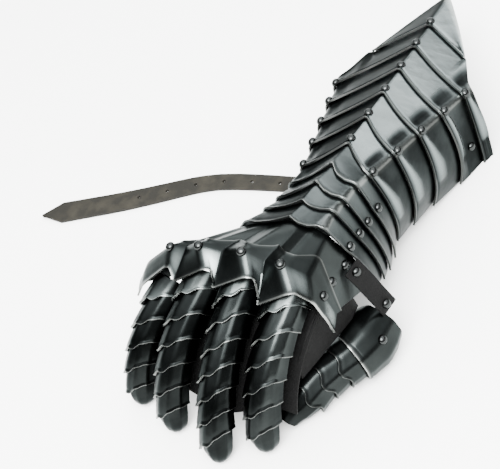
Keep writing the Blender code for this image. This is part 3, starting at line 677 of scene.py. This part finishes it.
def wrist_lame(number, steel):
    """One narrow plate round the wrist, with a cusp at each ridge."""
    start = -float(number)

    def place(column, row):
        line = start + row * (1 + CUFF_OVERLAP) + wrist_cusp(column) * (1 - row)
        return sleeve_soft(column, line)

    def lift(column, row):
        distance = row * WRIST_PITCH
        edge_rise = CUFF_RISE * (1.4 if number == 4 else 1.0)
        height = edge_rise * max(1 - row * 0.95, 0.0) + STEEL_THICK + lip(distance)
        # Painted highlight on the thumb-side facet and on the upper walls, fading toward the feet
        tone_and_painted_sheen = WRIST_FACET_PAINTED_HIGHLIGHT if column > 0 else 0.04
        if abs(column) > 1:
            tone_and_painted_sheen = max(WRIST_WALL_PAINTED_HIGHLIGHT - (abs(column) - 1) * 0.4, 0.0)
        return height, sleeve_edge_highlight_and_wear(column, distance), tone_and_painted_sheen

    columns = columns_between(-2.0, 2.0, 0.08, (-1.0, 0.0, 1.0), SLEEVE_EASE)
    node = "wrist_lame_%d" % number
    panel(node + "_steel", columns, ROWS, place, lift, steel, [node])
    add_rivet(place, lift, *WRIST_RIVET_AT, (0.8, 0, 0.5))


# Hand

def wrist_columns():
    """Where each column of the hand plate starts, under the last wrist plate."""
    low = wrist_rails(-3.8, -1.0)
    high = wrist_rails(-3.8, 1.0)
    top = low[0]
    starts = [low[4], low[2], low[1]]
    starts += [low[1] * (1 - share) + top * share for share in (0.22, 0.45, 0.68, 0.92)]
    starts += [top * (1 - share) + high[1] * share for share in (0.35, 0.8)]
    starts += [high[1] * 0.75 + high[2] * 0.25, high[2] * 0.65 + high[3] * 0.35, high[4]]
    return np.array(starts)


HAND_STARTS = wrist_columns()
KNUCKLE_RIDGE = KNUCKLES[:, :3]
KNUCKLE_BACK = HAND_STARTS - KNUCKLE_RIDGE
KNUCKLE_BACK = KNUCKLE_BACK / np.linalg.norm(KNUCKLE_BACK, axis=1)[:, None]
HAND_EASE = 0.13


def along_table(table, column):
    """The values between a table's rows at a column number."""
    places = np.arange(len(table))
    return np.array([np.interp(column, places, table[:, k]) for k in range(table.shape[1])])


def hand_place(column, row):
    """Point on the back of the hand, from the wrist to just under the knuckle plate."""
    start = along_table(HAND_STARTS, column)
    end = along_table(KNUCKLE_RIDGE, column) + along_table(KNUCKLE_BACK, column) * HAND_UNDER_KNUCKLES
    return start * (1 - row) + end * row


def hand_lift(column, row):
    """The hand plate has no bead: both its edges are covered."""
    return STEEL_THICK, 0.0, HAND_SHINE


def knuckle_place(column, row):
    """Point on the knuckle plate: row 0 is its crease, -1 the wrist edge and 1 the finger edge."""
    ridge = along_table(KNUCKLE_RIDGE, column)
    reach = along_table(KNUCKLES[:, 3:5], column)
    if row < 0:
        return ridge + along_table(KNUCKLE_BACK, column) * reach[0] * -row
    lean = np.array((along_table(KNUCKLES[:, 5:6], column)[0], 0.0, 0.0))
    return ridge + (KNUCKLE_FALL * reach[1] + lean) * row


def knuckle_lift(column, row):
    reach = along_table(KNUCKLES[:, 3:5], column)
    distance = (1 - abs(row)) * reach[0 if row < 0 else 1]
    height = STEEL_THICK * 2 + KNUCKLE_RISE + lip(distance)
    tone_and_painted_sheen = KNUCKLE_SHINE
    # Painted highlight down the middle of every second knuckle facet
    if row > 0 and int(column) % 2 == 0:
        tone_and_painted_sheen += KNUCKLE_PAINTED_HIGHLIGHT * math.sin(math.pi * (column - int(column))) * math.sin(math.pi * row)
    return height, math.exp(-((distance / 0.6) ** 2)) * (0.35 if row > 0 else 0.1), tone_and_painted_sheen


def hand(steel):
    """The plate over the back of the hand and the peaked plate over the knuckles."""
    columns = columns_between(0.0, 11.0, 0.25, range(1, 11), HAND_EASE)
    place = eased(hand_place, HAND_EASE)
    rows = tuple(k / 12 for k in range(13))
    panel("hand_plate_steel", columns, rows, place, hand_lift, steel, ["hand_plate"])
    length = np.linalg.norm(hand_place(10.0, 1.0) - hand_place(10.0, 0.0))
    low, high = HAND_RIVET_INSETS
    for row in (low / length, 1 - high / length):
        add_rivet(place, hand_lift, 10.0, row, (0.9, 0, 0.4))
    place = eased(knuckle_place, HAND_EASE)
    rows = (-1.0, -0.9, -0.78, -0.66, -0.4, -0.15, 0.0, 0.1, 0.3, 0.5, 0.7, 0.8, 0.87, 0.93, 0.97, 1.0)
    panel("knuckle_plate_steel", columns, rows, place, knuckle_lift, steel, ["knuckle_plate"])
    for column in (2, 4, 6, 8, 10):
        add_rivet(place, knuckle_lift, float(column), 0.0, (0, -0.2, 1))


# Fingers

FINGER_COLUMNS = columns_between(0.0, 6.0, 0.25, (1.0, 2.0, 3.0, 4.0, 5.0), FINGER_EASE)
TIP_ROWS = tuple(k / 18 for k in range(19))


class Arc:
    """A circular arc in an upright plane, from a knuckle down to a fingertip."""

    def __init__(self, start, end, sag):
        self.start = np.array(start, float)
        chord = np.array(end, float) - self.start
        self.length = np.linalg.norm(chord)
        self.chord = chord / self.length
        flat = unit(np.array((chord[0], chord[1], 0.0)))
        self.side = unit(np.cross(np.array((0.0, 0.0, 1.0)), flat))
        self.bow = -unit(np.cross(self.side, self.chord))
        if self.bow[2] < 0:
            self.bow = -self.bow
        self.sag = sag
        self.radius = (self.length**2 / 4 + sag**2) / (2 * sag)
        self.half_angle = math.asin(self.length / 2 / self.radius)

    def frame(self, share):
        """Point, direction of travel, outward normal and sideways direction at a share."""
        angle = (2 * share - 1) * self.half_angle
        centre = self.start + self.chord * self.length / 2 + self.bow * (self.sag - self.radius)
        normal = self.bow * math.cos(angle) + self.chord * math.sin(angle)
        travel = self.chord * math.cos(angle) - self.bow * math.sin(angle)
        return centre + normal * self.radius, travel, normal, unit(np.cross(normal, travel))


def finger_wave(side):
    """How far the free edge of a lame reaches toward the tip, at a share of its half width."""
    step = math.sin(2 * math.pi * side) / (2 * math.pi)
    return -LAME_SLANT * (side - LAME_WAVE * step)


def finger_lames(finger, steel):
    """The overlapping scales of one finger and its closed end."""
    name, count, start, tip, sag, wide = finger
    arc = Arc(start, tip, sag)
    width = FINGER_HALF_WIDTH * wide
    pitch = LAMES_END / count
    away = tuple(arc.bow)

    def spot(column, share, wave, size=1.0, sunk=0.0, wide_share=1.0):
        side, fall = along_table(FINGER_SECTION, min(max(column, 0.0), 6.0))
        taper = (1 - (1 - FINGER_TAPER) * share) * size
        point, _, normal, across = arc.frame(share + wave * finger_wave(side) / arc.length)
        height = fall * FINGER_DEPTH * taper - sunk
        return point + across * side * width * taper * wide_share + normal * height

    for k in range(count):
        free = pitch * (k + 1)
        tuck = max(free - pitch * LAME_COVER, 0.0)
        length = (free - tuck) * arc.length

        def place(column, row, free=free, tuck=tuck, first=(k == 0)):
            wave = 1 - (0.8 if first else 0.15) * row
            size = FIRST_LAME_WIDTH if first else 1.0
            return spot(column, free * (1 - row) + tuck * row, wave, wide_share=size)

        def lift(column, row, length=length, free=free, first=(k == 0)):
            rise = FINGER_RISE * (1 - row)
            if first:
                rise = FIRST_LAME_RISE[0] * (1 - row) + FIRST_LAME_RISE[1] * row
            distance = row * length
            height = rise + STEEL_THICK + lip(distance) * 0.8
            tone_and_painted_sheen = FIRST_LAME_SHINE * math.exp(-distance / 5.0) if first else FINGER_SHINE
            # Painted highlight along the index finger's thumb side
            if name == "index":
                tone_and_painted_sheen += INDEX_SIDE_PAINTED_HIGHLIGHT * math.exp(-(((column - 4.4) / 0.6) ** 2)) * (1 - free)
            return height, math.exp(-((distance / 0.3) ** 2)) * 0.28, tone_and_painted_sheen

        node = "%s_lame_%d" % (name, k + 1)
        panel(
            node + "_steel", FINGER_COLUMNS, ROWS, eased(place, FINGER_EASE), lift, steel, [node], away,
            even=True)

    shares = np.array((LAMES_END - pitch * (LAME_COVER - 1), 0.9, 0.93, 0.96, 0.98, 1.0, 1.008))
    sizes = np.array((0.98, 0.96, 0.89, 0.76, 0.62, 0.38, 0.1))

    def tip_place(column, row):
        share = np.interp(row, np.linspace(0, 1, len(shares)), shares)
        size = np.interp(share, shares, sizes)
        wave = 0.8 * max(1 - row * 2.5, 0.0)
        return spot(column, share, wave, size, (1 - size) * FINGER_DEPTH * 0.45)

    panel(name + "_tip_steel", FINGER_COLUMNS, TIP_ROWS, eased(tip_place, FINGER_EASE),
          lambda column, row: (STEEL_THICK, 0.0, 0.04), steel, [name + "_tip"], away)


# Thumb

def thumb_frame(at):
    """Point, travel, outward and sideways directions and width at a place on the thumb."""
    places = np.arange(len(THUMB_LINE))
    point = np.array([np.interp(at, places, THUMB_LINE[:, k]) for k in range(3)])
    ahead = np.array([np.interp(at + 0.5, places, THUMB_LINE[:, k]) for k in range(3)])
    behind = np.array([np.interp(at - 0.5, places, THUMB_LINE[:, k]) for k in range(3)])
    travel = unit(ahead - behind)
    facing = unit(THUMB_FACING - travel * float(THUMB_FACING @ travel))
    return point, travel, facing, unit(np.cross(facing, travel)), np.interp(at, places, THUMB_LINE[:, 3])


def thumb_spot(column, at, wave=0.0, grow=1.0):
    """Point on the thumb's plates at a place along it, with a free edge that waves."""
    side, fall = along_table(FINGER_SECTION, min(max(column, 0.0), 6.0))
    ahead = wave * math.cos(side * math.pi * 1.5) / THUMB_PITCH
    point, _, facing, across, share = thumb_frame(at + ahead)
    size = share * grow
    return point + across * side * THUMB_HALF_WIDTH * size + facing * fall * THUMB_DEPTH * size


def thumb(steel):
    """The thumb's base plate, its three scales and its closed end."""
    away = tuple(THUMB_FACING)

    def base_place(column, row):
        at = np.interp(row, (0.0, 0.25, 0.55, 0.8, 1.0), (2.1, 1.6, 1.0, 0.5, 0.1))
        return thumb_spot(column, at, grow=np.interp(row, (0.8, 1.0), (1.0, 0.8)))

    def base_lift(column, row):
        distance = row * THUMB_BASE_LENGTH
        height = THUMB_RISE + 0.4 + STEEL_THICK + lip(distance)
        return height, math.exp(-((distance / 0.6) ** 2)) * 0.6, THUMB_SHINE

    rows = (
        0.0, 0.015, 0.03, 0.05, 0.07, 0.09, 0.12, 0.2, 0.3, 0.4, 0.5, 0.6, 0.7, 0.8, 0.87, 0.93, 0.97,
        1.0)
    place = eased(base_place, FINGER_EASE)
    panel("thumb_base_steel", FINGER_COLUMNS, rows, place, base_lift, steel, ["thumb_base_plate"], away)
    add_rivet(place, base_lift, 3.0, THUMB_RIVET_ROW, THUMB_FACING)
    for k in range(3):
        free = 3.1 + k

        def place(column, row, free=free):
            return thumb_spot(column, free - LAME_COVER * row, THUMB_WAVE * (1 - row))

        def lift(column, row):
            distance = row * THUMB_LAME_LENGTH
            height = THUMB_RISE * (1 - row) + STEEL_THICK + lip(distance) * 0.8
            return height, math.exp(-((distance / 0.35) ** 2)) * 0.12, THUMB_SHINE

        node = "thumb_lame_%d" % (k + 1)
        panel(
            node + "_steel", FINGER_COLUMNS, ROWS, eased(place, FINGER_EASE), lift, steel, [node], away)

    def tip_place(column, row):
        return thumb_spot(column, 4.8 + row * 2.15)

    panel("thumb_tip_steel", FINGER_COLUMNS, TIP_ROWS, eased(tip_place, FINGER_EASE),
          lambda column, row: (STEEL_THICK, 0.0, 0.05), steel, ["thumb_tip"], away)


# Leather

def copied(node):
    """A bmesh of a CAD node's mesh, with its doubles merged and its quads put back."""
    mesh = bmesh.new()
    mesh.from_mesh(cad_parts[node].data)
    bmesh.ops.remove_doubles(mesh, verts=mesh.verts, dist=0.00001)
    bmesh.ops.join_triangles(
        mesh, faces=mesh.faces, angle_face_threshold=0.7, angle_shape_threshold=1.2)
    return mesh


def leather_pieces(leather):
    """The glove fingers and leather strips, from their solids, with rounded forms and edges."""
    for spot in HINGE_RIVETS:
        rivets.append((np.array(spot), unit(np.array(HINGE_FACING))))
    for name in ("little", "ring", "middle", "index", "thumb"):
        node = name + "_stall"
        finish_piece(node + "_leather", copied(node), leather, [node], levels=2)
    for node in ("palm_leather", "palm_strip", "thumb_web", "buckle_tab", "thumb_hinge_strip"):
        mesh = copied(node)
        edges = [edge for edge in mesh.edges if len(edge.link_faces) == 2 and edge.calc_face_angle() > 0.9]
        bmesh.ops.bevel(
            mesh, geom=edges, offset=LEATHER_ROUNDING * MM, segments=2, profile=0.5, affect="EDGES",
            material=-1)
        finish_piece(node + "_cut", mesh, leather, [node])


def finger_gap_shade_sheet(leather):
    """The glove's palm-side leather behind the fingers, a near-black sheet that paints the shade seen in
    the gaps between them.
    """
    arcs = [Arc(*finger[2:5]) for finger in FINGERS]

    def place(column, row):
        spots = []
        for arc in arcs:
            point, _, normal, _ = arc.frame(row * BACKING_REACH)
            spots.append(point - normal * BACKING_DEPTH)
        point, _, normal, across = arcs[-1].frame(row * BACKING_REACH)
        spots.append(point - normal * (BACKING_DEPTH + BACKING_SIDE_DROP) + across * BACKING_SIDE)
        return along_table(np.array(spots), column)

    columns = tuple(k / 4 for k in range(17))
    rows = tuple(k / 10 for k in range(11))
    panel("finger_gap_shade_leather", columns, rows, place, lambda column, row: (0.0, 0.0, 0.0),
          leather, [], (0, -0.5, 1), LEATHER_THICK)


def strap(leather):
    """The long strap: a smooth ribbon with eased edges and punched holes."""
    steps = np.linalg.norm(np.diff(STRAP_LINE[:, :3], axis=0), axis=1)
    reach = np.concatenate([[0.0], np.cumsum(steps)])
    stations = set(np.round(np.linspace(0, reach[-1], STRAP_STATIONS), 3))
    stations = sorted(stations | {round(reach[-2], 3)})

    def centre(at):
        return np.array([np.interp(at, reach, STRAP_LINE[:, k]) for k in range(3)])

    def soft_centre(at):
        span = max(min(STRAP_SOFTNESS, at, reach[-2] - at), 0.0)
        if at < reach[3]:
            span = min(span, STRAP_BEND_SOFTNESS)
        return (centre(at - span) + centre(at) * 2 + centre(at + span)) / 4

    def place(column, row):
        at = row * reach[-1]
        middle = soft_centre(at)
        travel = soft_centre(min(at + 3, reach[-1])) - soft_centre(max(at - 3, 0))
        side = unit(np.array((-travel[1], travel[0] - 0.01, 0.0)))
        if at < reach[4]:
            side = np.array((0.0, -1.0, 0.0))
        width = np.interp(at, reach, STRAP_LINE[:, 3])
        return middle + side * width / 2 * column

    def lift(column, row):
        return STRAP_THICK / 2 - 0.25 * abs(column) ** 6, 0.0, 0.0

    columns = (-1.0, -0.94, -0.85, -0.6, -0.2, 0.2, 0.6, 0.85, 0.94, 1.0)
    rows = tuple(at / reach[-1] for at in stations)
    made = panel("strap_leather", columns, rows, place, lift, leather, ["strap"], thick=STRAP_THICK)
    mesh = bmesh.new()
    for k in range(STRAP_HOLES):
        middle = to_frame(soft_centre(reach[-1] - STRAP_FIRST_HOLE - k * STRAP_HOLE_PITCH))
        bmesh.ops.create_cone(
            mesh, cap_ends=True, segments=20, radius1=STRAP_HOLE_RADIUS * MM,
            radius2=STRAP_HOLE_RADIUS * MM, depth=PUNCH_LENGTH * MM, matrix=Matrix.Translation(middle))
    data = bpy.data.meshes.new("strap_punch")
    mesh.to_mesh(data)
    mesh.free()
    punch = bpy.data.objects.new("strap_punch", data)
    punch.hide_render = True
    punch.display_type = "WIRE"
    bpy.context.scene.collection.objects.link(punch)
    holes = made.modifiers.new("holes", "BOOLEAN")
    holes.operation = "DIFFERENCE"
    holes.solver = "EXACT"
    holes.object = punch
    made.modifiers.move(len(made.modifiers) - 1, 1)


def buckle(steel):
    """The buckle keeps its solid's own shape and takes the steel of the rivets."""
    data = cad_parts["buckle"].data
    data.materials.clear()
    data.materials.append(steel)


def camera():
    """The camera at the photograph's angle."""
    data = bpy.data.cameras.new("camera")
    data.lens = CAMERA_LENS
    data.sensor_width = SENSOR_WIDTH
    made = bpy.data.objects.new("camera", data)
    right = CAMERA_RIGHT.normalized()
    up = (CAMERA_UP - right * CAMERA_UP.dot(right)).normalized()
    turn = Matrix((right, up, right.cross(up))).transposed().to_4x4()
    made.matrix_world = Matrix.Translation(CAMERA_AT) @ turn
    bpy.context.scene.collection.objects.link(made)
    bpy.context.scene.camera = made


def softbox(name, toward, distance, size, power):
    """An area light that faces the middle of the object from a direction."""
    data = bpy.data.lights.new(name, "AREA")
    data.shape = "RECTANGLE"
    data.size, data.size_y = size
    data.energy = power
    made = bpy.data.objects.new(name, data)
    away = Vector(toward).normalized()
    made.location = LIGHT_AIM + away * distance
    made.rotation_euler = (-away).to_track_quat("-Z", "Y").to_euler()
    bpy.context.scene.collection.objects.link(made)


def studio():
    """A bright sky overhead, dark toward the sides, three soft lights and a pale floor."""
    world = bpy.data.worlds.new("studio")
    world.use_nodes = True
    tree = world.node_tree
    back = tree.nodes["Background"]
    back.inputs["Color"].default_value = linear("#f0f3f4")
    toward = add_node(tree, "ShaderNodeTexCoord").outputs["Generated"]
    height = add_node(tree, "ShaderNodeSeparateXYZ", {"Vector": toward})
    sky = add_node(tree, "ShaderNodeMapRange", {
        "Value": height.outputs["Z"], "From Min": 0.3, "From Max": 0.8, "To Min": 0.02, "To Max": 7.5})
    tree.links.new(sky.outputs[0], back.inputs["Strength"])
    bpy.context.scene.world = world
    for light in LIGHTS:
        softbox(*light)
    mesh = bmesh.new()
    bmesh.ops.create_grid(mesh, x_segments=2, y_segments=2, size=4.0)
    data = bpy.data.meshes.new("floor")
    mesh.to_mesh(data)
    mesh.free()
    data.materials.append(floor_material())
    floor = bpy.data.objects.new("floor", data)
    bpy.context.scene.collection.objects.link(floor)


def main():
    plate_steel = blackened_steel("oil_blackened_steel", "#060707", "#727a7a")
    hand_steel = blackened_steel("oil_blackened_steel_hand", "#060707", "#5c6261", 0.3, 0.22)
    rivet_steel = blackened_steel("turned_rivet_steel", "#141515", "#6a6d6c", 0.22, 0.16)
    # Glove leather made near-black, darker than black leather, as painted shade of the shadowed palm, web
    # and finger gaps
    glove = oiled_leather("oiled_glove_leather_painted_shade_black", "#020202", "#050505", 0.9, 0.75)
    bridle = oiled_leather("waxed_bridle_leather", "#151411", "#211f1a", 0.8, 0.6)
    for number in range(LAST_LAME + 1):
        cuff_lame(number, plate_steel)
    cuff_point(plate_steel)
    for number in range(1, len(WRIST)):
        wrist_lame(number, plate_steel)
    hand(hand_steel)
    for finger in FINGERS:
        finger_lames(finger, hand_steel)
    thumb(hand_steel)
    leather_pieces(glove)
    finger_gap_shade_sheet(glove)
    strap(bridle)
    rivet_heads(rivet_steel)
    buckle(rivet_steel)
    camera()
    studio()


main()
